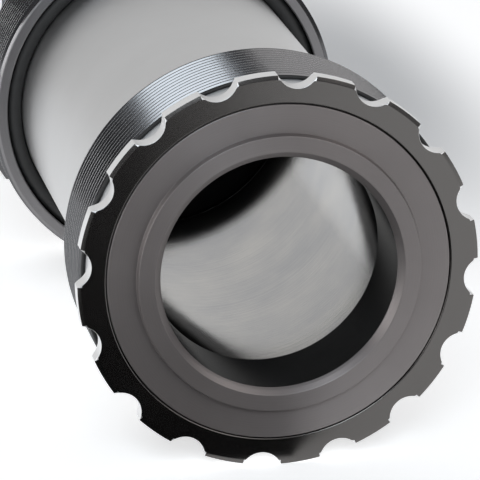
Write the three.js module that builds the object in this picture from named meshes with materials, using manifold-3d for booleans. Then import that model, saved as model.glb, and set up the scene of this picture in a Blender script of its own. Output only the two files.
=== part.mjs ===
// Threaded bottom bracket for a bicycle: two screw-in cups with cartridge bearings,
// a tube between them, and a turning dust cover on each side for the crank spindle.
// Millimetres. The spindle axis is Y, +Z is up, and the origin is midway between the cups.
// "Depth" is measured from a cup's flange face inwards, towards the middle of the bracket.

import * as THREE from 'three';
import { mergeVertices } from 'three/addons/utils/BufferGeometryUtils.js';
import Module from 'manifold-3d';

const wasm = await Module();
wasm.setup();

// Driving dimensions
const SHELL_WIDTH = 85.5; // frame shell that the two flanges clamp
const SPINDLE_BORE = 29; // hole through the dust covers
const THREAD_DIAMETER = 47;
const FLANGE_DIAMETER = 49;
const FLANGE_THICKNESS = 2.35;
const CUP_LENGTH = 17.1; // flange face to inner end
const BEARING_BORE = 30;
const BEARING_OUTER = 42;
const BEARING_WIDTH = 7;
const BEARING_DEPTH = 3; // flange face to the bearing's outer face
const SLEEVE_OUTER = 39;
const SLEEVE_INNER = 37;
const NOTCH_COUNT = 16;
const BALL_COUNT = 20;
const BALL_DIAMETER = 3.2;
const SEGMENTS = 32; // facets around every turned piece

// Derived radii and depths
const FACE_Y = SHELL_WIDTH / 2 + FLANGE_THICKNESS; // flange face, from the middle
const FLANGE_R = FLANGE_DIAMETER / 2;
const THREAD_R = THREAD_DIAMETER / 2;
const SPINDLE_R = SPINDLE_BORE / 2;
const POCKET_R = BEARING_OUTER / 2 + 0.07; // bored pocket for bearing and cover
const SLEEVE_R = SLEEVE_OUTER / 2;
const PITCH_R = (BEARING_BORE + BEARING_OUTER) / 4; // circle of ball centres
const MID_DEPTH = BEARING_DEPTH + BEARING_WIDTH / 2;
const BEARING_END = BEARING_DEPTH + BEARING_WIDTH;

// Flange, neck and thread
const FACE_CHAMFER_R = 0.5;
const FACE_CHAMFER_DEPTH = 0.15;
const RIM_DEPTH = 2.05; // end of the full-diameter rim
const SEAT_R = 24.2; // outer edge of the face that meets the shell
const SEAT_INNER_R = 23.55;
const SEAT_RELIEF = 0.15; // step in the flange, inside the seat
const NECK_R = 22.85; // bare neck between flange and thread
const NECK_END = 4.4;
const THREAD_START = 4.7;
const THREAD_END = 16.4;
const CUP_END_R = 22.9;
const SLEEVE_POCKET_R = 21.6;
const SHOULDER_R = 18.6;
const SHOULDER_START = BEARING_END + 0.2;
const SHOULDER_END = SHOULDER_START + 1.2;

// Wrench notches
const NOTCH_FLOOR_R = 22.9;
const NOTCH_CUTTER_R = 2.6;
const NOTCH_PHASE = 5; // degrees from straight down, towards -X
const CUTTER_SIDES = 12;
const CUTTER_PAST_FACE = 1.3;
const CUTTER_PAST_SEAT = 0.3;

// Bearing
const GROOVE_R = 1.85;
const GROOVE_STEPS = 4;
const RACE_WALL_OUTER_R = 19.2;
const RACE_WALL_INNER_R = 16.8;
const CAGE_HALF_WIDTH = 0.65;
const CAGE_START = 0.6; // cage ring, from the ball centres inwards
const CAGE_END = 2.2;

// Seals
const BEARING_SEAL_THICKNESS = 0.7;
const BEARING_SEAL_INSET = 0.2; // from the bearing's face
const BEARING_SEAL_OUTER_R = RACE_WALL_OUTER_R - 0.1;
const BEARING_SEAL_INNER_R = RACE_WALL_INNER_R + 0.25;
const LIP_SEAL_INNER_R = 18.2;
const LIP_SEAL_OUTER_R = 20.8;
const LIP_SEAL_GAP = 0.3; // to the dust cover and to the bearing
const O_RING_R = 23.18;
const O_RING_SECTION_R = 0.3;
const O_RING_DEPTH = 4;
const SLEEVE_SEAL_CLEARANCE = 0.05;
const SLEEVE_SEAL_START = 13.6;
const SLEEVE_SEAL_END = CUP_LENGTH - 0.4;
const SLEEVE_GAP = 0.3; // between the cup's shoulder and the tube's end

// Dust cover
const COVER_R = 20.85;
const COVER_THICKNESS = 1.5;
const STEP_R = 17.45;
const RAISED_R = 17.25;
const RAISED_HEIGHT = 0.8;
const BORE_CHAMFER = 0.25;
const BORE_CHAMFER_HEIGHT = 0.3;
const LIP_R = 15.28;
const HUB_R = 16.4;
const HUB_END = BEARING_DEPTH - 0.1;
const BUSH_R = 14.9; // thin bush through the inner race
const BUSH_END = BEARING_END + 0.2;

const materials = {
  blackAnodised: material(0x1d1e20, 0.35, 0.8),
  bronzeAnodised: material(0x6f6a67, 0.45, 0.8),
  satinAluminium: material(0xc4c6c8, 0.3, 1),
  bearingSteel: material(0xb4b4b2, 0.2, 1),
  cageBrass: material(0xb09a5c, 0.4, 0.9),
  blackRubber: material(0x141414, 0.8, 0),
};

function material(colour, roughness, metalness) {
  return new THREE.MeshStandardMaterial({ color: colour, roughness, metalness });
}

// Signed volume of a closed triangle mesh, positive when its faces point out.
function signedVolume(geometry) {
  const at = geometry.attributes.position;
  const index = geometry.index.array;
  const corners = [new THREE.Vector3(), new THREE.Vector3(), new THREE.Vector3()];
  let sum = 0;
  for (let i = 0; i < index.length; i += 3) {
    corners.forEach((corner, k) => corner.fromBufferAttribute(at, index[i + k]));
    sum += corners[0].dot(corners[1].cross(corners[2])) / 6;
  }
  return sum;
}

// Positions only, shared corners merged, zero-area triangles dropped, faces out.
function closedSolid(source) {
  const bare = source.clone();
  bare.deleteAttribute('normal');
  bare.deleteAttribute('uv');
  const merged = mergeVertices(bare, 1e-4);
  const kept = [];
  const index = merged.index.array;
  for (let i = 0; i < index.length; i += 3) {
    const [a, b, c] = [index[i], index[i + 1], index[i + 2]];
    if (a !== b && b !== c && c !== a) kept.push(a, b, c);
  }
  merged.setIndex(kept);
  if (signedVolume(merged) < 0) {
    for (let i = 0; i < kept.length; i += 3) {
      [kept[i], kept[i + 1]] = [kept[i + 1], kept[i]];
    }
    merged.setIndex(kept);
  }
  return merged;
}

function toManifold(geometry) {
  const solid = closedSolid(geometry);
  const mesh = new wasm.Mesh({
    numProp: 3,
    vertProperties: new Float32Array(solid.attributes.position.array),
    triVerts: new Uint32Array(solid.index.array),
  });
  return new wasm.Manifold(mesh);
}

function fromManifold(solid) {
  const mesh = solid.getMesh();
  const geometry = new THREE.BufferGeometry();
  geometry.setAttribute('position', new THREE.BufferAttribute(mesh.vertProperties, 3));
  geometry.setIndex(new THREE.BufferAttribute(mesh.triVerts, 1));
  return closedSolid(geometry);
}

// A ring turned about the spindle axis. Each corner is [radius, depth] and side is
// -1 for the cup at -Y and +1 for the cup at +Y.
function turned(side, corners) {
  const points = corners.map(([radius, depth]) => new THREE.Vector2(radius, side * (FACE_Y - depth)));
  points.push(points[0].clone());
  return closedSolid(new THREE.LatheGeometry(points, SEGMENTS));
}

function rectangle(side, innerR, outerR, start, end) {
  return turned(side, [[innerR, start], [outerR, start], [outerR, end], [innerR, end]]);
}

// A ring of round section, as an eight-sided one.
function roundRing(side, centreR, sectionR, depth) {
  const corners = [];
  for (let k = 0; k < 8; k += 1) {
    const angle = ((k + 0.5) * Math.PI) / 4;
    corners.push([centreR + sectionR * Math.cos(angle), depth + sectionR * Math.sin(angle)]);
  }
  return turned(side, corners);
}

function cup(side) {
  const body = toManifold(turned(side, [
    [POCKET_R, 0],
    [FLANGE_R - FACE_CHAMFER_R, 0],
    [FLANGE_R, FACE_CHAMFER_DEPTH],
    [FLANGE_R, RIM_DEPTH],
    [SEAT_R, FLANGE_THICKNESS],
    [SEAT_INNER_R, FLANGE_THICKNESS],
    [SEAT_INNER_R, FLANGE_THICKNESS - SEAT_RELIEF],
    [NECK_R, FLANGE_THICKNESS - SEAT_RELIEF],
    [NECK_R, NECK_END],
    [THREAD_R, THREAD_START],
    [THREAD_R, THREAD_END],
    [CUP_END_R, CUP_LENGTH],
    [SLEEVE_POCKET_R, CUP_LENGTH],
    [SLEEVE_POCKET_R, SHOULDER_END],
    [SHOULDER_R, SHOULDER_END],
    [SHOULDER_R, SHOULDER_START],
    [POCKET_R, SHOULDER_START],
  ]));
  const cutterLength = FLANGE_THICKNESS + CUTTER_PAST_FACE + CUTTER_PAST_SEAT;
  const reach = NOTCH_FLOOR_R + NOTCH_CUTTER_R;
  let cutters = null;
  for (let k = 0; k < NOTCH_COUNT; k += 1) {
    const angle = THREE.MathUtils.degToRad(NOTCH_PHASE + (k * 360) / NOTCH_COUNT);
    const cutter = new THREE.CylinderGeometry(NOTCH_CUTTER_R, NOTCH_CUTTER_R, cutterLength, CUTTER_SIDES);
    cutter.rotateY(angle);
    cutter.translate(
      -reach * Math.sin(angle),
      side * (FACE_Y + CUTTER_PAST_FACE - cutterLength / 2),
      -reach * Math.cos(angle),
    );
    const solid = toManifold(cutter);
    cutters = cutters ? cutters.add(solid) : solid;
  }
  return fromManifold(body.subtract(cutters));
}

// Groove corners between two depths about the ball centres, bulging by `sign`.
function groove(sign, wallR) {
  const offset = Math.abs(wallR - PITCH_R);
  const half = Math.acos(offset / GROOVE_R);
  const corners = [];
  for (let k = 0; k <= GROOVE_STEPS; k += 1) {
    const angle = -half + (2 * half * k) / GROOVE_STEPS;
    corners.push([PITCH_R + sign * GROOVE_R * Math.cos(angle), MID_DEPTH + GROOVE_R * Math.sin(angle)]);
  }
  return corners;
}

function race(side, wallR, backR, sign) {
  return turned(side, [
    [backR, BEARING_DEPTH],
    [wallR, BEARING_DEPTH],
    ...groove(sign, wallR),
    [wallR, BEARING_END],
    [backR, BEARING_END],
  ]);
}

// Cage and balls, joined where each ball is snapped into the cage.
function ballCage(side) {
  const ringDepth = [MID_DEPTH + CAGE_START, MID_DEPTH + CAGE_END];
  let solid = toManifold(rectangle(side, PITCH_R - CAGE_HALF_WIDTH, PITCH_R + CAGE_HALF_WIDTH, ...ringDepth));
  for (let k = 0; k < BALL_COUNT; k += 1) {
    const angle = (k * 2 * Math.PI) / BALL_COUNT;
    const ball = new THREE.SphereGeometry(BALL_DIAMETER / 2, 6, 4);
    ball.rotateY(angle);
    ball.translate(PITCH_R * Math.sin(angle), side * (FACE_Y - MID_DEPTH), PITCH_R * Math.cos(angle));
    solid = solid.add(toManifold(ball));
  }
  return fromManifold(solid);
}

function dustCover(side) {
  return turned(side, [
    [SPINDLE_R, 0],
    [SPINDLE_R + BORE_CHAMFER, -BORE_CHAMFER_HEIGHT],
    [LIP_R, -RAISED_HEIGHT],
    [RAISED_R, -RAISED_HEIGHT],
    [STEP_R, 0],
    [COVER_R, 0],
    [COVER_R, COVER_THICKNESS],
    [HUB_R, COVER_THICKNESS],
    [HUB_R, HUB_END],
    [BUSH_R, HUB_END],
    [BUSH_R, BUSH_END],
    [SPINDLE_R, BUSH_END],
  ]);
}

const bottomBracket = new THREE.Group();

function addPiece(name, geometry, finish) {
  geometry.computeVertexNormals();
  const mesh = new THREE.Mesh(geometry, finish);
  mesh.name = name;
  bottomBracket.add(mesh);
}

function addBearing(prefix, side) {
  addPiece(
    `${prefix}_bearing_outer_race`,
    race(side, RACE_WALL_OUTER_R, BEARING_OUTER / 2, 1),
    materials.bearingSteel,
  );
  addPiece(
    `${prefix}_bearing_inner_race`,
    race(side, RACE_WALL_INNER_R, BEARING_BORE / 2, -1),
    materials.bearingSteel,
  );
  addPiece(`${prefix}_ball_cage`, ballCage(side), materials.cageBrass);
  const outboard = BEARING_DEPTH + BEARING_SEAL_INSET;
  addPiece(
    `${prefix}_outboard_bearing_seal`,
    rectangle(side, BEARING_SEAL_INNER_R, BEARING_SEAL_OUTER_R, outboard, outboard + BEARING_SEAL_THICKNESS),
    materials.blackRubber,
  );
  const inboard = BEARING_END - BEARING_SEAL_INSET;
  addPiece(
    `${prefix}_inboard_bearing_seal`,
    rectangle(side, BEARING_SEAL_INNER_R, BEARING_SEAL_OUTER_R, inboard - BEARING_SEAL_THICKNESS, inboard),
    materials.blackRubber,
  );
}

function addSide(prefix, side) {
  addPiece(`${prefix}_cup`, cup(side), materials.blackAnodised);
  addBearing(prefix, side);
  addPiece(`${prefix}_dust_cover`, dustCover(side), materials.bronzeAnodised);
  const lipStart = COVER_THICKNESS + LIP_SEAL_GAP;
  const lipEnd = BEARING_DEPTH - LIP_SEAL_GAP;
  addPiece(
    `${prefix}_cover_lip_seal`,
    rectangle(side, LIP_SEAL_INNER_R, LIP_SEAL_OUTER_R, lipStart, lipEnd),
    materials.blackRubber,
  );
  addPiece(
    `${prefix}_shell_o_ring`,
    roundRing(side, O_RING_R, O_RING_SECTION_R, O_RING_DEPTH),
    materials.blackRubber,
  );
  const sealInnerR = SLEEVE_R + SLEEVE_SEAL_CLEARANCE;
  const sealOuterR = SLEEVE_POCKET_R - SLEEVE_SEAL_CLEARANCE;
  addPiece(
    `${prefix}_sleeve_seal`,
    rectangle(side, sealInnerR, sealOuterR, SLEEVE_SEAL_START, SLEEVE_SEAL_END),
    materials.blackRubber,
  );
}

addSide('left', -1);
addSide('right', 1);

const sleeveStart = SHOULDER_END + SLEEVE_GAP;
addPiece(
  'centre_sleeve',
  rectangle(-1, SLEEVE_INNER / 2, SLEEVE_R, sleeveStart, 2 * FACE_Y - sleeveStart),
  materials.satinAluminium,
);

export default bottomBracket;
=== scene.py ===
"""Looks for a threaded bicycle bottom bracket: two cups, their bearings and dust covers, and a sleeve.

Lengths in this script are millimetres until a mesh is made; MM turns them into metres. The spindle
axis is Y. "Depth" runs from a cup's flange face inwards, towards the middle of the bracket.
"""

import math

import bmesh
import bpy
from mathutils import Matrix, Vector

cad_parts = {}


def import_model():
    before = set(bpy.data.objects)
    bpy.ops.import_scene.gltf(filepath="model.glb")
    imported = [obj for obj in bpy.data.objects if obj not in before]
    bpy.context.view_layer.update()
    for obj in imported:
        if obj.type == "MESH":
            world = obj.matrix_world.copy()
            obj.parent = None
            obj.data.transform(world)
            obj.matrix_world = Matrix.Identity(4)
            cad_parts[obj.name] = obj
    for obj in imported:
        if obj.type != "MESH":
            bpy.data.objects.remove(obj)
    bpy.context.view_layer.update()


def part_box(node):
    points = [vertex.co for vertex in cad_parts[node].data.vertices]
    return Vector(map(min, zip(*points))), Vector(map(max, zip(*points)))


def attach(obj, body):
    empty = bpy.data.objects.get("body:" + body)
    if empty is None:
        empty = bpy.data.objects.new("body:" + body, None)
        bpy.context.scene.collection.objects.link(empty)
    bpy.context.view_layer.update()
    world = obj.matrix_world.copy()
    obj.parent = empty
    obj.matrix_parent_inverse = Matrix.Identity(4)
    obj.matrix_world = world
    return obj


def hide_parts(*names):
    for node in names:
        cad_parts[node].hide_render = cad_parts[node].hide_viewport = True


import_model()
MM = 0.001

# ---------------------------------------------------------------- sizes
SIDES = {"left": -1, "right": 1}
FACE_Y = -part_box("left_cup")[0].y / MM  # flange face, from the middle of the bracket
CUP_LENGTH = (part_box("left_cup")[1].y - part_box("left_cup")[0].y) / MM
FLOOR_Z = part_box("left_cup")[0].z / MM
POCKET_R = 21.07
RIM_R = 24.5
RIM_DEPTH = 2.05  # end of the full-diameter rim
FACE_CHAMFER_R = 0.5
FACE_CHAMFER_DEPTH = 0.15
SEAT_R = 24.2
FLANGE_THICKNESS = 2.35
SEAT_INNER_R = 23.55
SEAT_RELIEF = 0.15
NECK_R = 22.86  # bare neck between the flange and the thread
NECK_END = 4.4
THREAD_R = 23.5
THREAD_START = 4.7
THREAD_END = 16.4
CUP_END_R = 22.9
THREAD_PITCH = 1.0
THREAD_HEIGHT = 0.54
SLEEVE_POCKET_R = 21.6
SHOULDER_R = 18.6
SHOULDER_START = 10.2
SHOULDER_END = 11.4
EDGE_ROUND = 0.04  # rounding of the flange's sharp edges

# dust cover
SPINDLE_R = 14.5
BORE_CHAMFER_R = 14.75
BORE_CHAMFER_HEIGHT = 0.3
LIP_R = 15.28
RAISED_R = 17.25
RAISED_HEIGHT = 0.8
STEP_R = 17.45
COVER_R = 20.94
COVER_THICKNESS = 1.5
HUB_R = 16.4
HUB_END = 2.9
BUSH_R = 14.9  # thin bush through the inner race
BUSH_END = 10.2

# bearing
BEARING_DEPTH = 3.0
BEARING_END = 10.0
BEARING_BORE_R = 15.0
BEARING_OUTER_R = 21.0
RACE_WALL_INNER_R = 16.8
RACE_WALL_OUTER_R = 19.2
MID_DEPTH = 6.5
PITCH_R = 18.0
GROOVE_R = 1.7
BALL_R = 1.5875
BALLS = 20
CAGE_INNER_R = 17.45
CAGE_OUTER_R = 18.55
CAGE_REACH = 2.2  # from the ball centres inwards
CAGE_CLAW = 1.2  # from the ball centres outwards, between the balls

# seals
BEARING_SEAL_INNER_R = 17.0
BEARING_SEAL_OUTER_R = 19.1
OUTBOARD_SEAL = (3.2, 3.9)
INBOARD_SEAL = (9.1, 10.1)
INBOARD_SHADE_LIP_R = 15.15  # painted shade: a thin dark rubber lip of the inboard seal, laid over the inner race's face to darken it
INBOARD_SHADE_LIP_THICKNESS = 0.06
LIP_SEAL_INNER_R = 18.2
LIP_SEAL_OUTER_R = 20.8
LIP_SEAL = (1.8, 2.7)
O_RING_R = 23.14
O_RING_SECTION_R = 0.26
O_RING_DEPTH = 4.2
SLEEVE_SEAL = (13.6, 16.7)
SLEEVE_SEAL_CLEARANCE = 0.05

# sleeve
SLEEVE_R = 19.5
SLEEVE_BORE_R = 18.5
SLEEVE_START = 11.7

NOTCHES = 16
NOTCH_FLOOR_R = 22.9
NOTCH_CUTTER_R = 2.6
NOTCH_PHASE = math.radians(5)  # first notch, from straight down towards -X
NOTCH_CENTRE_R = NOTCH_FLOOR_R + NOTCH_CUTTER_R


# ---------------------------------------------------------------- mesh helpers
def point(side, radius, depth, angle):
    """A point in metres; angle 0 is straight down and grows towards -X."""
    return (-radius * math.sin(angle) * MM, side * (FACE_Y - depth) * MM, -radius * math.cos(angle) * MM)


def new_object(name, mesh, materials):
    obj = bpy.data.objects.new(name, mesh)
    bpy.context.scene.collection.objects.link(obj)
    for material in materials:
        mesh.materials.append(material)
    return obj


def mesh_from(name, verts, faces, indices=None):
    """A smooth closed mesh with its normals facing out and doubled points merged."""
    mesh = bpy.data.meshes.new(name)
    mesh.from_pydata(verts, [], faces)
    if indices:
        mesh.polygons.foreach_set("material_index", indices)
    mesh.polygons.foreach_set("use_smooth", [True] * len(mesh.polygons))
    work = bmesh.new()
    work.from_mesh(mesh)
    bmesh.ops.remove_doubles(work, verts=work.verts, dist=1e-7)
    bmesh.ops.recalc_face_normals(work, faces=work.faces)
    work.to_mesh(mesh)
    work.free()
    return mesh


def rounded(corners, steps=4, support=0.04):
    """A closed outline of (radius, depth, fillet) corners with each fillet as an arc.

    A support point close to each end of an arc keeps the flats beside it flat in shading.
    """
    outline = []
    count = len(corners)
    for i, (r, d, fillet) in enumerate(corners):
        here = Vector((r, d))
        if fillet == 0:
            outline.append(here)
            continue
        to_last = (Vector(corners[i - 1][:2]) - here)
        to_next = (Vector(corners[(i + 1) % count][:2]) - here)
        room = min(to_last.length, to_next.length)
        to_last.normalize()
        to_next.normalize()
        half = to_last.angle(to_next) / 2
        reach = min(fillet / math.tan(half), room * 0.45)
        radius = reach * math.tan(half)
        centre = here + (to_last + to_next).normalized() * (radius / math.sin(half))
        start = here + to_last * reach
        end = here + to_next * reach
        margin = min(support, room * 0.5 - reach)
        if margin > 0.002:
            outline.append(start + to_last * margin)
        first = start - centre
        turn = first.angle_signed(end - centre)
        for k in range(steps + 1):
            a = -turn * k / steps
            spoke = Vector((first.x * math.cos(a) - first.y * math.sin(a),
                            first.x * math.sin(a) + first.y * math.cos(a)))
            outline.append(centre + spoke)
        if margin > 0.002:
            outline.append(end + to_next * margin)
    return [(p.x, p.y) for p in outline]


def turned(name, side, outline, materials, columns=192, index_of=None):
    """A ring turned about the spindle axis from a closed outline of (radius, depth)."""
    rows = len(outline)
    verts = [point(side, r, d, 2 * math.pi * c / columns) for c in range(columns) for r, d in outline]
    faces = []
    indices = []
    for c in range(columns):
        after = (c + 1) % columns
        for k in range(rows):
            k2 = (k + 1) % rows
            faces.append((c * rows + k, c * rows + k2, after * rows + k2, after * rows + k))
            if index_of:
                r = (outline[k][0] + outline[k2][0]) / 2
                d = (outline[k][1] + outline[k2][1]) / 2
                indices.append(index_of(r, d))
    mesh = mesh_from(name, verts, faces, indices)
    return new_object(name, mesh, materials)


# ---------------------------------------------------------------- materials
def node_material(name):
    material = bpy.data.materials.new(name)
    material.use_nodes = True
    tree = material.node_tree
    tree.nodes.clear()
    output = tree.nodes.new("ShaderNodeOutputMaterial")
    shader = tree.nodes.new("ShaderNodeBsdfPrincipled")
    tree.links.new(shader.outputs["BSDF"], output.inputs["Surface"])
    return material, tree, shader


def add(tree, kind, settings=None, **inputs):
    """A node with attributes from settings and input sockets set to a value or linked."""
    node = tree.nodes.new(kind)
    for key, value in (settings or {}).items():
        setattr(node, key, value)
    for key, value in inputs.items():
        socket = node.inputs[int(key[1:])] if key[0] == "_" else node.inputs[key]
        if isinstance(value, bpy.types.NodeSocket):
            tree.links.new(value, socket)
        else:
            socket.default_value = value
    return node


def axis_coordinates(tree):
    """Sockets for the distance from the spindle axis, the place along it and the angle about it, in mm."""
    place = add(tree, "ShaderNodeTexCoord").outputs["Object"]
    split = add(tree, "ShaderNodeSeparateXYZ", _0=place)
    x, y, z = (split.outputs[k] for k in range(3))
    flat = add(tree, "ShaderNodeCombineXYZ", _0=x, _2=z).outputs[0]
    radius = add(tree, "ShaderNodeVectorMath", {"operation": "LENGTH"}, _0=flat).outputs["Value"]
    radius_mm = add(tree, "ShaderNodeMath", {"operation": "MULTIPLY"}, _0=radius, _1=1000.0).outputs[0]
    along_mm = add(tree, "ShaderNodeMath", {"operation": "MULTIPLY"}, _0=y, _1=1000.0).outputs[0]
    angle = add(tree, "ShaderNodeMath", {"operation": "ARCTAN2"}, _0=x, _1=z).outputs[0]
    return place, radius_mm, along_mm, angle


def ramp(tree, value, stops):
    """A colour ramp of (position, grey or rgb) stops."""
    node = add(tree, "ShaderNodeValToRGB", Fac=value)
    elements = node.color_ramp.elements
    while len(elements) < len(stops):
        elements.new(1.0)
    for element, (position, colour) in zip(elements, stops):
        element.position = position
        rgb = (colour,) * 3 if isinstance(colour, (int, float)) else colour
        element.color = (*rgb, 1.0)
    return node.outputs["Color"]


def turning_marks(tree, coordinate, per_mm, detail=3.0):
    """Fine tool marks as a 1D noise of one coordinate in mm."""
    noise = add(tree, "ShaderNodeTexNoise", {"noise_dimensions": "1D"}, W=coordinate, Scale=per_mm,
                Detail=detail, Roughness=0.6)
    return noise.outputs[0]


def finish_surface(tree, shader, marks, strength, distance, rough_low, rough_high, smudge):
    """Tool marks as bump, and roughness that varies with the marks and with soft smudges."""
    bump = add(tree, "ShaderNodeBump", Strength=strength, Distance=distance, Height=marks)
    tree.links.new(bump.outputs["Normal"], shader.inputs["Normal"])
    both = add(tree, "ShaderNodeMix", {"data_type": "FLOAT"}, Factor=0.4, _2=marks, _3=smudge).outputs[0]
    rough = add(tree, "ShaderNodeMapRange", _0=both, _1=0.25, _2=0.75, _3=rough_low, _4=rough_high)
    tree.links.new(rough.outputs[0], shader.inputs["Roughness"])


def metal(name, dark, light, rough, metallic=1.0, along=False, marks_per_mm=9.0, strength=0.25,
          distance=0.00002, anisotropic=0.0, specular=0.5):
    """A machined metal or anodised surface with tool marks round the spindle axis.

    The marks follow the radius on faces, or with along=True the place along the axis on cylinders.
    """
    material, tree, shader = node_material(name)
    place, radius_mm, along_mm, _ = axis_coordinates(tree)
    marks = turning_marks(tree, along_mm if along else radius_mm, marks_per_mm)
    smudge = add(tree, "ShaderNodeTexNoise", Vector=place, Scale=90.0, Detail=4.0, Roughness=0.55).outputs[0]
    tone = add(tree, "ShaderNodeMix", {"data_type": "FLOAT"}, Factor=0.5, _2=marks, _3=smudge).outputs[0]
    colour = ramp(tree, tone, [(0.3, dark), (0.7, light)])
    tree.links.new(colour, shader.inputs["Base Color"])
    shader.inputs["Metallic"].default_value = metallic
    shader.inputs["Anisotropic"].default_value = anisotropic
    shader.inputs["Specular IOR Level"].default_value = specular
    if anisotropic:
        # turned marks run round the axis, so they spread light across themselves
        shader.inputs["Anisotropic Rotation"].default_value = 0.25
        tangent = add(tree, "ShaderNodeTangent", {"direction_type": "RADIAL", "axis": "Y"})
        tree.links.new(tangent.outputs[0], shader.inputs["Tangent"])
    finish_surface(tree, shader, marks, strength, distance, rough[0], rough[1], smudge)
    return material


def rubber_material():
    material, tree, shader = node_material("nitrile_rubber")
    place = add(tree, "ShaderNodeTexCoord").outputs["Object"]
    grain = add(tree, "ShaderNodeTexNoise", Vector=place, Scale=900.0, Detail=3.0).outputs[0]
    bump = add(tree, "ShaderNodeBump", Strength=0.3, Distance=0.00003, Height=grain)
    tree.links.new(bump.outputs["Normal"], shader.inputs["Normal"])
    tree.links.new(ramp(tree, grain, [(0.3, 0.008), (0.7, 0.018)]), shader.inputs["Base Color"])
    rough = add(tree, "ShaderNodeMapRange", _0=grain, _1=0.3, _2=0.7, _3=0.5, _4=0.68).outputs[0]
    tree.links.new(rough, shader.inputs["Roughness"])
    return material


MATERIALS = {
    "face": metal("black_anodised_face", (0.128, 0.121, 0.116), (0.142, 0.135, 0.130), (0.20, 0.28),
                  strength=0.1, anisotropic=0.3),
    "thread": metal("black_anodised_thread", (0.125, 0.125, 0.128), (0.140, 0.140, 0.145), (0.13, 0.19),
                    along=True, strength=0.06),
    # painted sheen: the cup's end face, end chamfer and pocket mouth are a lighter copy of the black
    # anodising, standing in for light they reflect
    "end": metal("black_anodised_end_painted_sheen", (0.19, 0.185, 0.19), (0.24, 0.235, 0.24), (0.32, 0.44), strength=0.1),
    "neck": metal("fine_blasted_aluminium", 0.68, 0.80, (0.5, 0.65), metallic=0.3, along=True,
                  strength=0.15),
    "bare": metal("bare_machined_aluminium", 0.74, 0.86, (0.34, 0.48), along=True, marks_per_mm=14.0,
                  strength=0.2),
    "cover": metal("bronze_anodised", (0.215, 0.195, 0.191), (0.265, 0.243, 0.238), (0.42, 0.54),
                   metallic=0.85, marks_per_mm=12.0, strength=0.3, anisotropic=0.6),
    "bush": metal("gloss_black_bush", 0.008, 0.013, (0.16, 0.24), metallic=0.0, specular=0.03, along=True,
                  strength=0.1),
    "sleeve": metal("satin_aluminium", (0.53, 0.53, 0.53), (0.61, 0.61, 0.61), (0.28, 0.38), along=True,
                    marks_per_mm=6.0, strength=0.2, anisotropic=0.4),
    "bore": metal("polished_aluminium", (0.27, 0.28, 0.30), (0.50, 0.485, 0.455), (0.08, 0.14), along=True,
                  marks_per_mm=5.0, strength=0.25, anisotropic=0.3),
    "steel": metal("ground_bearing_steel", 0.50, 0.60, (0.12, 0.22), along=True, strength=0.1),
    "brass": metal("pressed_brass", (0.48, 0.36, 0.13), (0.58, 0.45, 0.18), (0.25, 0.4), strength=0.1),
    "rubber": rubber_material(),
}


# ---------------------------------------------------------------- cups
BESIDE_NOTCH = 99.0  # a notch radius that is past everything


def notch_radius(offset):
    """Radius of the notch arc at an angle from the notch's middle; a large number beside it."""
    across = NOTCH_CENTRE_R * math.sin(offset)
    if abs(across) >= NOTCH_CUTTER_R:
        return BESIDE_NOTCH
    return NOTCH_CENTRE_R * math.cos(offset) - math.sqrt(NOTCH_CUTTER_R ** 2 - across ** 2)


def notch_half_angle():
    """Half of the angle that a notch takes at the rim."""
    cosine = (NOTCH_CENTRE_R ** 2 + RIM_R ** 2 - NOTCH_CUTTER_R ** 2) / (2 * NOTCH_CENTRE_R * RIM_R)
    return math.acos(cosine)


def column_offsets(wall_steps=18, land_steps=5):
    """Angles over one notch and one land, from the notch's middle: the notch wall, then the land."""
    half = notch_half_angle()
    edge = math.asin(math.sin(half) * RIM_R / NOTCH_CUTTER_R)
    offsets = []
    for k in range(wall_steps + 1):
        turn = edge * (2 * k / wall_steps - 1)
        across = NOTCH_CUTTER_R * math.sin(turn)
        out = NOTCH_CENTRE_R - NOTCH_CUTTER_R * math.cos(turn)
        offsets.append(math.atan2(across, out))
    margin = math.radians(0.12)
    period = 2 * math.pi / NOTCHES
    start = half + margin
    end = period - half - margin
    offsets += [start + (end - start) * k / land_steps for k in range(land_steps + 1)]
    return offsets


def soft_min(a, b, width=0.05):
    """The smaller of two radii, with the crease between them rounded off."""
    if b == BESIDE_NOTCH:
        return a
    low = min(a, b)
    return low - width * math.log(math.exp((low - a) / width) + math.exp((low - b) / width))


def flange_radius(depth):
    """Outer profile of the flange before the notches are cut."""
    if depth < FACE_CHAMFER_DEPTH:
        return RIM_R - FACE_CHAMFER_R * (1 - depth / FACE_CHAMFER_DEPTH)
    if depth < RIM_DEPTH:
        return RIM_R
    return RIM_R + (SEAT_R - RIM_R) * (depth - RIM_DEPTH) / (FLANGE_THICKNESS - RIM_DEPTH)


def thread_height(phase):
    """Height of the thread above its root, from 0 to 1, over one pitch."""
    corners = THREAD_CORNERS + [(1.0, 1.0)]
    for (p0, h0), (p1, h1) in zip(corners, corners[1:]):
        if p0 <= phase <= p1:
            return h0 + (h1 - h0) * (phase - p0) / (p1 - p0)
    return 1.0


THREAD_CORNERS = [(0.0, 1.0), (0.125, 1.0), (0.15, 0.95), (0.165, 0.9), (0.42, 0.1), (0.435, 0.05),
                  (0.46, 0.0), (0.66, 0.0), (0.685, 0.05), (0.70, 0.1), (0.955, 0.9), (0.97, 0.95)]


def thread_envelope(depth):
    """Largest radius of the threaded length, with its lead-in and end chamfer."""
    rise = NECK_R + (THREAD_R - NECK_R) * (depth - NECK_END) / (THREAD_START - NECK_END)
    fall = THREAD_R - (THREAD_R - CUP_END_R) * (depth - THREAD_END) / (CUP_LENGTH - THREAD_END)
    return min(rise, THREAD_R, fall)


SLOT_ORDER = ("face", "bare", "thread", "end", "neck")
SLOT_OF = {"thread": "thread", "seat": "thread", "inside": "thread", "end": "end", "neck": "neck"}
POCKET_BREAK = 0.1  # broken edge where the pocket meets the flange face
CHAMFER_ROWS = (0.06, 0.1, 0.14, 0.148)  # depths, closer beside each crease to keep it crisp
RIM_ROWS = (0.155, 0.2, 0.5, 1.2, 1.8, 2.0, 2.04, 2.06, 2.1, 2.25)


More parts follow.
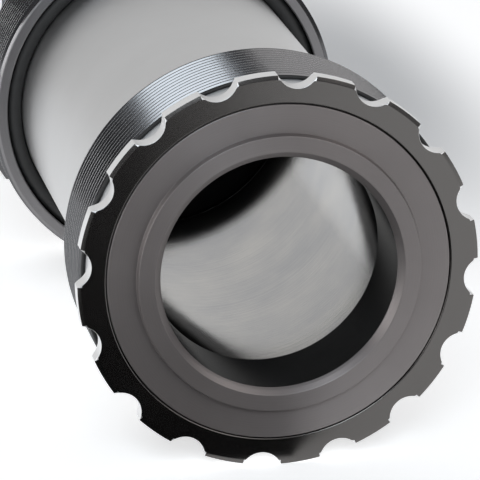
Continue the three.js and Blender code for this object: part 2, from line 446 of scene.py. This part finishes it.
def cup(prefix, side):
    """The whole cup as one closed mesh: notched flange, neck, helical thread and stepped bore."""
    period = 2 * math.pi / NOTCHES
    offsets = column_offsets()
    columns = [(k * period, off) for k in range(NOTCHES) for off in offsets]
    count = len(columns)
    angles = [NOTCH_PHASE + base + off for base, off in columns]
    half = notch_half_angle()

    rows = []  # each row: list of (radius, depth) per column
    kinds = []  # what lies between a row and the next

    def outer(depth, offset):
        return soft_min(flange_radius(depth), notch_radius(offset))

    def add_row(kind, values):
        rows.append(values)
        kinds.append(kind)

    # front face, from the pocket's edge to the rim
    add_row("face", [(POCKET_R, POCKET_BREAK + 0.02)] * count)
    add_row("face", [(POCKET_R + POCKET_BREAK, 0.0)] * count)
    for share in (0.02, 0.35, 0.7, 0.97, 1.0):
        row = []
        for _, off in columns:
            inner = POCKET_R + POCKET_BREAK + 0.04
            row.append((inner + (outer(0.0, off) - EDGE_ROUND - inner) * share, 0.0))
        add_row("edge" if share == 1.0 else "face", row)
    for k in range(1, 4):
        lift = math.radians(30 * k)
        depth = EDGE_ROUND * (1 - math.cos(lift))
        inset = EDGE_ROUND * (1 - math.sin(lift))
        add_row("chamfer", [(outer(depth, off) - inset, depth) for _, off in columns])
    for depth in CHAMFER_ROWS:
        add_row("chamfer", [(outer(depth, off), depth) for _, off in columns])
    for depth in RIM_ROWS:
        add_row("rim", [(outer(depth, off), depth) for _, off in columns])
    for k in range(0, 4):
        lift = math.radians(30 * k)
        depth = FLANGE_THICKNESS - EDGE_ROUND * (1 - math.sin(lift))
        inset = EDGE_ROUND * (1 - math.cos(lift))
        kind = "rim" if k < 3 else "seat"
        add_row(kind, [(outer(depth, off) - inset, depth) for _, off in columns])
    for share in (0.05, 0.5, 0.95, 1.0):
        row = []
        for _, off in columns:
            rim = outer(FLANGE_THICKNESS, off) - EDGE_ROUND
            inner = min(SEAT_INNER_R, rim - 0.02)
            row.append((rim + (inner - rim) * share, FLANGE_THICKNESS))
        add_row("seat", row)
    relief = FLANGE_THICKNESS - SEAT_RELIEF
    row = [(min(SEAT_INNER_R, outer(relief, off) - EDGE_ROUND - 0.02), relief) for _, off in columns]
    add_row("seat", row)
    for depth in (relief, relief + 0.04, 3.0, NECK_END - 0.05):
        add_row("neck", [(NECK_R, depth)] * count)
    add_row("thread", [(NECK_R, NECK_END)] * count)

    # helical thread, squeezed flat against both ends of its length
    helix_start = len(rows)
    turns = int((CUP_LENGTH - NECK_END) / THREAD_PITCH) + 2
    per_turn = len(THREAD_CORNERS)
    for k in range(turns * per_turn + 1):
        whole, part = divmod(k, per_turn)
        row = []
        for angle in angles:
            share = ((angle - angles[0]) / (2 * math.pi)) % 1.0
            depth = NECK_END + THREAD_PITCH * (whole - 1 + THREAD_CORNERS[part][0] + share)
            depth = min(max(depth, NECK_END), CUP_LENGTH)
            phase = ((depth - NECK_END) / THREAD_PITCH - share) % 1.0
            crest = THREAD_R - THREAD_HEIGHT * (1 - thread_height(phase))
            row.append((min(thread_envelope(depth), crest), depth))
        add_row("end" if row[0][1] > THREAD_END else "thread", row)
    helix_end = len(rows)

    # end face, sleeve pocket, shoulder and bearing pocket
    mouth_r = SLEEVE_POCKET_R + 0.2
    inner = [(CUP_END_R - 0.05, CUP_LENGTH), (22.3, CUP_LENGTH), (mouth_r + 0.05, CUP_LENGTH),
             (mouth_r, CUP_LENGTH), (SLEEVE_POCKET_R + 0.02, CUP_LENGTH - 0.18),
             (SLEEVE_POCKET_R, CUP_LENGTH - 0.25), (SLEEVE_POCKET_R, SHOULDER_END + 0.1),
             (SLEEVE_POCKET_R, SHOULDER_END), (SHOULDER_R + 0.05, SHOULDER_END),
             (SHOULDER_R, SHOULDER_END - 0.05), (SHOULDER_R, SHOULDER_START + 0.05),
             (SHOULDER_R + 0.05, SHOULDER_START), (POCKET_R, SHOULDER_START),
             (POCKET_R, SHOULDER_START - 0.1), (POCKET_R, POCKET_BREAK + 0.1)]
    for r, d in inner:
        add_row("end" if d > CUP_LENGTH - 0.2 else "inside", [(r, d)] * count)

    verts = []
    for row in rows:
        verts += [point(side, r, d, a) for (r, d), a in zip(row, angles)]
    faces = []
    indices = []
    total = len(rows)
    for j in range(total):
        after = (j + 1) % total
        in_helix = helix_start <= j < helix_end - 1
        for c in range(count):
            c2 = (c + 1) % count
            if in_helix and c2 == 0:
                # the last column meets the first one turn further on
                k, k2 = min(j + per_turn, helix_end - 1), min(after + per_turn, helix_end - 1)
            else:
                k, k2 = j, after
            quad = (j * count + c, after * count + c, k2 * count + c2, k * count + c2)
            if len(set(quad)) < 3:
                continue
            faces.append(tuple(dict.fromkeys(quad)))
            # a wall runs from its first column to its last, and what follows the last is land
            in_notch = min(abs(columns[c][1]), abs(columns[c][1] + 1e-6)) < half
            bare = kinds[j] == "rim" or (kinds[j] in ("edge", "chamfer") and in_notch)
            slot = "bare" if bare else SLOT_OF.get(kinds[j], "face")
            indices.append(SLOT_ORDER.index(slot))
    mesh = mesh_from(f"{prefix}_cup_body", verts, faces, indices)
    return new_object(f"{prefix}_cup_body", mesh, [MATERIALS[key] for key in SLOT_ORDER])


# ---------------------------------------------------------------- turned pieces
def dust_cover(prefix, side):
    """The turned cover with its raised ring, and the glossy bush that lines its hole."""
    outline = rounded([
        (SPINDLE_R, 0.0, 0.12), (BORE_CHAMFER_R, -BORE_CHAMFER_HEIGHT, 0.1), (LIP_R, -RAISED_HEIGHT, 0.12),
        (RAISED_R, -RAISED_HEIGHT, 0.09), (STEP_R, 0.0, 0.04), (COVER_R, 0.0, 0.1),
        (COVER_R, COVER_THICKNESS, 0.1), (HUB_R, COVER_THICKNESS, 0.1), (HUB_R, HUB_END, 0.1),
        (BUSH_R, HUB_END, 0.1), (BUSH_R, BUSH_END, 0.05), (SPINDLE_R, BUSH_END, 0.08)])
    bush_start = 0.12
    return turned(f"{prefix}_cover", side, outline, [MATERIALS["cover"], MATERIALS["bush"]], 256,
                  lambda r, d: 1 if r < BUSH_R + 0.05 and d > bush_start else 0)


def sleeve():
    """The tube between the cups, from one pocket to the other."""
    sleeve_end = 2 * FACE_Y - SLEEVE_START
    outline = rounded([(SLEEVE_BORE_R, SLEEVE_START, 0.2), (SLEEVE_R, SLEEVE_START, 0.2),
                       (SLEEVE_R, sleeve_end, 0.2), (SLEEVE_BORE_R, sleeve_end, 0.2)])
    return turned("sleeve_tube", -1, outline, [MATERIALS["sleeve"], MATERIALS["bore"]], 256,
                  lambda r, d: 1 if r < (SLEEVE_R + SLEEVE_BORE_R) / 2 else 0)


def race(name, side, wall_r, back_r, sign):
    """A race with its ball groove; sign is 1 for the outer race and -1 for the inner one."""
    half = math.acos(abs(wall_r - PITCH_R) / GROOVE_R)
    corners = [(back_r, BEARING_DEPTH, 0.3), (wall_r, BEARING_DEPTH, 0.15)]
    for k in range(9):
        a = -half + 2 * half * k / 8
        corners.append((PITCH_R + sign * GROOVE_R * math.cos(a), MID_DEPTH + GROOVE_R * math.sin(a), 0.0))
    corners += [(wall_r, BEARING_END, 0.15), (back_r, BEARING_END, 0.3)]
    outline = []
    for corner in rounded(corners, 3):
        if not outline or math.dist(corner, outline[-1]) > 1e-4:
            outline.append(corner)
    return turned(name, side, outline, [MATERIALS["steel"]])


def ball_cage(name, side):
    """A crown cage with its balls."""
    work = bmesh.new()
    for k in range(BALLS):
        angle = 2 * math.pi * k / BALLS
        made = bmesh.ops.create_uvsphere(work, u_segments=20, v_segments=12, radius=BALL_R * MM)
        centre = Vector(point(side, PITCH_R, MID_DEPTH, angle))
        bmesh.ops.translate(work, verts=made["verts"], vec=centre)
        for vert in made["verts"]:
            for face in vert.link_faces:
                face.material_index = 1
    columns = BALLS * 12
    outline = [(CAGE_INNER_R, "claw"), (CAGE_OUTER_R, "claw"),
               (CAGE_OUTER_R, "back"), (CAGE_INNER_R, "back")]
    grid = []
    for c in range(columns):
        angle = 2 * math.pi * (c + 0.5) / columns
        phase = math.cos(BALLS * angle)
        opening = min(1.0, max(0.0, (phase + 0.35) / 0.5))
        reach = {"claw": -CAGE_CLAW + 2 * CAGE_CLAW * opening, "back": CAGE_REACH}
        grid.append([work.verts.new(point(side, r, MID_DEPTH + reach[part], angle)) for r, part in outline])
    for c in range(columns):
        for k in range(4):
            here, after = grid[c], grid[(c + 1) % columns]
            work.faces.new((here[k], here[(k + 1) % 4], after[(k + 1) % 4], after[k]))
    bmesh.ops.recalc_face_normals(work, faces=work.faces)
    for face in work.faces:
        face.smooth = face.material_index == 1
    mesh = bpy.data.meshes.new(name)
    work.to_mesh(mesh)
    work.free()
    return new_object(name, mesh, [MATERIALS["brass"], MATERIALS["steel"]])


def ring(name, side, inner_r, outer_r, span, fillet):
    """A rubber ring between two depths."""
    start, end = span
    outline = rounded([(inner_r, start, fillet), (outer_r, start, fillet), (outer_r, end, fillet),
                       (inner_r, end, fillet)])
    return turned(name, side, outline, [MATERIALS["rubber"]])


def o_ring(name, side, sides=16):
    """The O-ring that sits where the neck meets the thread."""
    outline = []
    for k in range(sides):
        a = 2 * math.pi * k / sides
        across, along = O_RING_SECTION_R * math.cos(a), O_RING_SECTION_R * math.sin(a)
        outline.append((O_RING_R + across, O_RING_DEPTH + along))
    return turned(name, side, outline, [MATERIALS["rubber"]])


def install(obj, body, node):
    """Fix a visible piece to a body in place of its CAD node, and hide that node."""
    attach(obj, body)
    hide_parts(node)


def build_side(prefix, side):
    """A cup with its bearing, dust cover and seals."""
    install(cup(prefix, side), "shell_side", f"{prefix}_cup")
    install(dust_cover(prefix, side), f"{prefix}_rotor", f"{prefix}_dust_cover")
    outer = race(f"{prefix}_outer_race", side, RACE_WALL_OUTER_R, BEARING_OUTER_R, 1)
    install(outer, "shell_side", f"{prefix}_bearing_outer_race")
    inner = race(f"{prefix}_inner_race", side, RACE_WALL_INNER_R, BEARING_BORE_R, -1)
    install(inner, f"{prefix}_rotor", f"{prefix}_bearing_inner_race")
    balls = ball_cage(f"{prefix}_balls_and_cage", side)
    install(balls, f"{prefix}_balls", f"{prefix}_ball_cage")
    seal = ring(f"{prefix}_outboard_seal", side, BEARING_SEAL_INNER_R, BEARING_SEAL_OUTER_R,
                OUTBOARD_SEAL, 0.12)
    install(seal, "shell_side", f"{prefix}_outboard_bearing_seal")
    # the seal carries a thin dark lip over the inner race's face: painted shade over the steel
    start, end = INBOARD_SEAL
    shade_lip_start = end - INBOARD_SHADE_LIP_THICKNESS
    seal_with_shade_lip = rounded([(BEARING_SEAL_INNER_R, start, 0.1), (BEARING_SEAL_OUTER_R, start, 0.1),
                      (BEARING_SEAL_OUTER_R, end, 0.03), (INBOARD_SHADE_LIP_R, end, 0.02),
                      (INBOARD_SHADE_LIP_R, shade_lip_start, 0.02), (BEARING_SEAL_INNER_R, shade_lip_start, 0.02)])
    seal = turned(f"{prefix}_inboard_seal", side, seal_with_shade_lip, [MATERIALS["rubber"]])
    install(seal, "shell_side", f"{prefix}_inboard_bearing_seal")
    lip = ring(f"{prefix}_lip_seal", side, LIP_SEAL_INNER_R, LIP_SEAL_OUTER_R, LIP_SEAL, 0.2)
    install(lip, "shell_side", f"{prefix}_cover_lip_seal")
    install(o_ring(f"{prefix}_o_ring", side), "shell_side", f"{prefix}_shell_o_ring")
    seal = ring(f"{prefix}_sleeve_ring", side, SLEEVE_R + SLEEVE_SEAL_CLEARANCE,
                SLEEVE_POCKET_R - SLEEVE_SEAL_CLEARANCE, SLEEVE_SEAL, 0.9)
    install(seal, "shell_side", f"{prefix}_sleeve_seal")


for prefix, side in SIDES.items():
    build_side(prefix, side)
install(sleeve(), "shell_side", "centre_sleeve")


# ---------------------------------------------------------------- studio
def floor():
    """A pale table that glows softly, with a painted shadow: a soft patch behind and to the right where it
    glows less, cast by nothing.
    """
    mesh = bpy.data.meshes.new("floor")
    size = 4.0
    z = FLOOR_Z * MM
    corners = [(-size, -size, z), (size, -size, z), (size, size, z), (-size, size, z)]
    mesh.from_pydata(corners, [], [(0, 1, 2, 3)])
    material, tree, shader = node_material("pale_light_table")
    place = add(tree, "ShaderNodeTexCoord").outputs["Object"]
    grain = add(tree, "ShaderNodeTexNoise", Vector=place, Scale=30.0, Detail=3.0).outputs[0]
    tree.links.new(ramp(tree, grain, [(0.3, 0.84), (0.7, 0.87)]), shader.inputs["Base Color"])
    shader.inputs["Roughness"].default_value = 0.9
    shader.inputs["Specular IOR Level"].default_value = 0.1
    shader.inputs["Emission Color"].default_value = (1, 1, 1, 1)
    # painted shadow: the glow drops in a soft patch behind and to the right
    moved = add(tree, "ShaderNodeVectorMath", {"operation": "SUBTRACT"}, _0=place,
                _1=(PAINTED_SHADOW_CENTRE[0] * MM, PAINTED_SHADOW_CENTRE[1] * MM, z)).outputs[0]
    scaled = add(tree, "ShaderNodeVectorMath", {"operation": "DIVIDE"}, _0=moved,
                 _1=(PAINTED_SHADOW_REACH[0] * MM, PAINTED_SHADOW_REACH[1] * MM, 1.0)).outputs[0]
    away = add(tree, "ShaderNodeVectorMath", {"operation": "LENGTH"}, _0=scaled).outputs["Value"]
    glow_with_painted_shadow = add(tree, "ShaderNodeMapRange", {"interpolation_type": "SMOOTHSTEP"},
               _0=away, _1=PAINTED_SHADOW_CORE, _2=1.0, _3=PAINTED_SHADOW_GLOW, _4=FLOOR_GLOW).outputs[0]
    tree.links.new(glow_with_painted_shadow, shader.inputs["Emission Strength"])
    new_object("floor", mesh, [material])


def direction(azimuth, elevation):
    """Unit vector from the object towards a place; azimuth 0 is -Y."""
    a, e = math.radians(azimuth), math.radians(elevation)
    return Vector((math.sin(a) * math.cos(e), -math.cos(a) * math.cos(e), math.sin(e)))


def softbox(name, azimuth, elevation, width, height, radiance, colour=(1, 1, 1)):
    """A rectangular light that faces the object; its width and height are angles seen from the object."""
    light = bpy.data.lights.new(name, "AREA")
    light.shape = "RECTANGLE"
    light.size = 2 * LIGHT_DISTANCE * math.tan(math.radians(width / 2))
    light.size_y = 2 * LIGHT_DISTANCE * math.tan(math.radians(height / 2))
    light.energy = radiance * math.pi * light.size * light.size_y
    light.color = colour
    obj = bpy.data.objects.new(name, light)
    bpy.context.scene.collection.objects.link(obj)
    away = direction(azimuth, elevation)
    obj.location = away * LIGHT_DISTANCE
    obj.rotation_mode = "QUATERNION"
    obj.rotation_quaternion = away.to_track_quat("Z", "Y")
    obj.visible_camera = False
    return obj


def flag(name, corners):
    """A black card just over the floor, that only mirror-like surfaces see."""
    mesh = bpy.data.meshes.new(name)
    height = (FLOOR_Z + 0.2) * MM
    mesh.from_pydata([(x * MM, y * MM, height) for x, y in corners], [], [tuple(range(len(corners)))])
    material, tree, shader = node_material(name + "_cloth")
    place = add(tree, "ShaderNodeTexCoord").outputs["Object"]
    grain = add(tree, "ShaderNodeTexNoise", Vector=place, Scale=200.0).outputs[0]
    tree.links.new(ramp(tree, grain, [(0.3, 0.004), (0.7, 0.008)]), shader.inputs["Base Color"])
    shader.inputs["Roughness"].default_value = 1.0
    shader.inputs["Specular IOR Level"].default_value = 0.0
    obj = new_object(name, mesh, [material])
    for kind in ("camera", "diffuse", "shadow", "transmission", "volume_scatter"):
        setattr(obj, "visible_" + kind, False)


def world():
    """Soft room light: bright behind the object, dim in front and overhead."""
    studio = bpy.data.worlds.new("studio")
    bpy.context.scene.world = studio
    studio.use_nodes = True
    tree = studio.node_tree
    place = add(tree, "ShaderNodeTexCoord").outputs["Generated"]
    parts = add(tree, "ShaderNodeSeparateXYZ", _0=place)
    back = add(tree, "ShaderNodeMapRange", {"interpolation_type": "SMOOTHSTEP"},
               _0=parts.outputs[1], _1=0.2, _2=0.75, _3=0.0, _4=1.0).outputs[0]
    colour = add(tree, "ShaderNodeMix", {"data_type": "RGBA"}, Factor=back)
    colour.inputs[6].default_value = (*ROOM_FRONT, 1)
    colour.inputs[7].default_value = (*ROOM_BACK, 1)
    background = tree.nodes["Background"]
    tree.links.new(colour.outputs[2], background.inputs["Color"])
    background.inputs["Strength"].default_value = 1.0


def camera():
    """The viewing angle: left of the axis and above it, close in with a long lens."""
    back = direction(CAMERA_AZIMUTH, CAMERA_ELEVATION)
    turn = math.radians(CAMERA_AZIMUTH)
    right = Vector((math.cos(turn), math.sin(turn), 0))
    up = back.cross(right)
    face_centre = Vector((0, -FACE_Y * MM, 0))
    data = bpy.data.cameras.new("camera")
    data.lens = CAMERA_LENS
    data.sensor_width = 36
    data.clip_start = 0.01
    obj = bpy.data.objects.new("camera", data)
    bpy.context.scene.collection.objects.link(obj)
    aside = right * (CAMERA_LEFT * MM)
    obj.location = face_centre + back * (CAMERA_DISTANCE * MM) - aside + up * (CAMERA_UP * MM)
    obj.rotation_mode = "QUATERNION"
    obj.rotation_quaternion = back.to_track_quat("Z", "Y")
    bpy.context.scene.camera = obj


CAMERA_AZIMUTH = -11.81  # degrees from -Y
CAMERA_ELEVATION = 18.16
CAMERA_DISTANCE = 483.3  # from the near flange face
CAMERA_LEFT = 4.75  # aim, off the middle of the near flange face
CAMERA_UP = 3.95
CAMERA_LENS = 303.3

FLOOR_GLOW = 0.62
PAINTED_SHADOW_CENTRE = (48, 118)  # painted shadow: a soft patch of the table, behind and to the right, that glows less
PAINTED_SHADOW_REACH = (28, 120)
PAINTED_SHADOW_CORE = 0.15  # share of the reach where the painted shadow is darkest
# glow in the middle of the painted shadow
PAINTED_SHADOW_GLOW = 0.08
ROOM_FRONT = (0.15, 0.15, 0.16)
ROOM_BACK = (0.80, 0.80, 0.80)
FLAG_CORNERS = [(-420, -900), (112, -900), (10, -60), (2, -47), (-20, -46), (-42, -60)]
LIGHT_DISTANCE = 1.2  # metres

floor()
world()
softbox("key", -14.5, 34, 24, 26, 6.4, (0.86, 0.94, 1.0))
softbox("fill", 46, 36, 46, 34, 1.8, (1.0, 0.98, 0.96)).visible_diffuse = False
softbox("side", -76, 13, 34, 24, 4.0).visible_diffuse = False
flag("front_flag", FLAG_CORNERS)
camera()
bpy.context.scene.view_settings.view_transform = "Standard"
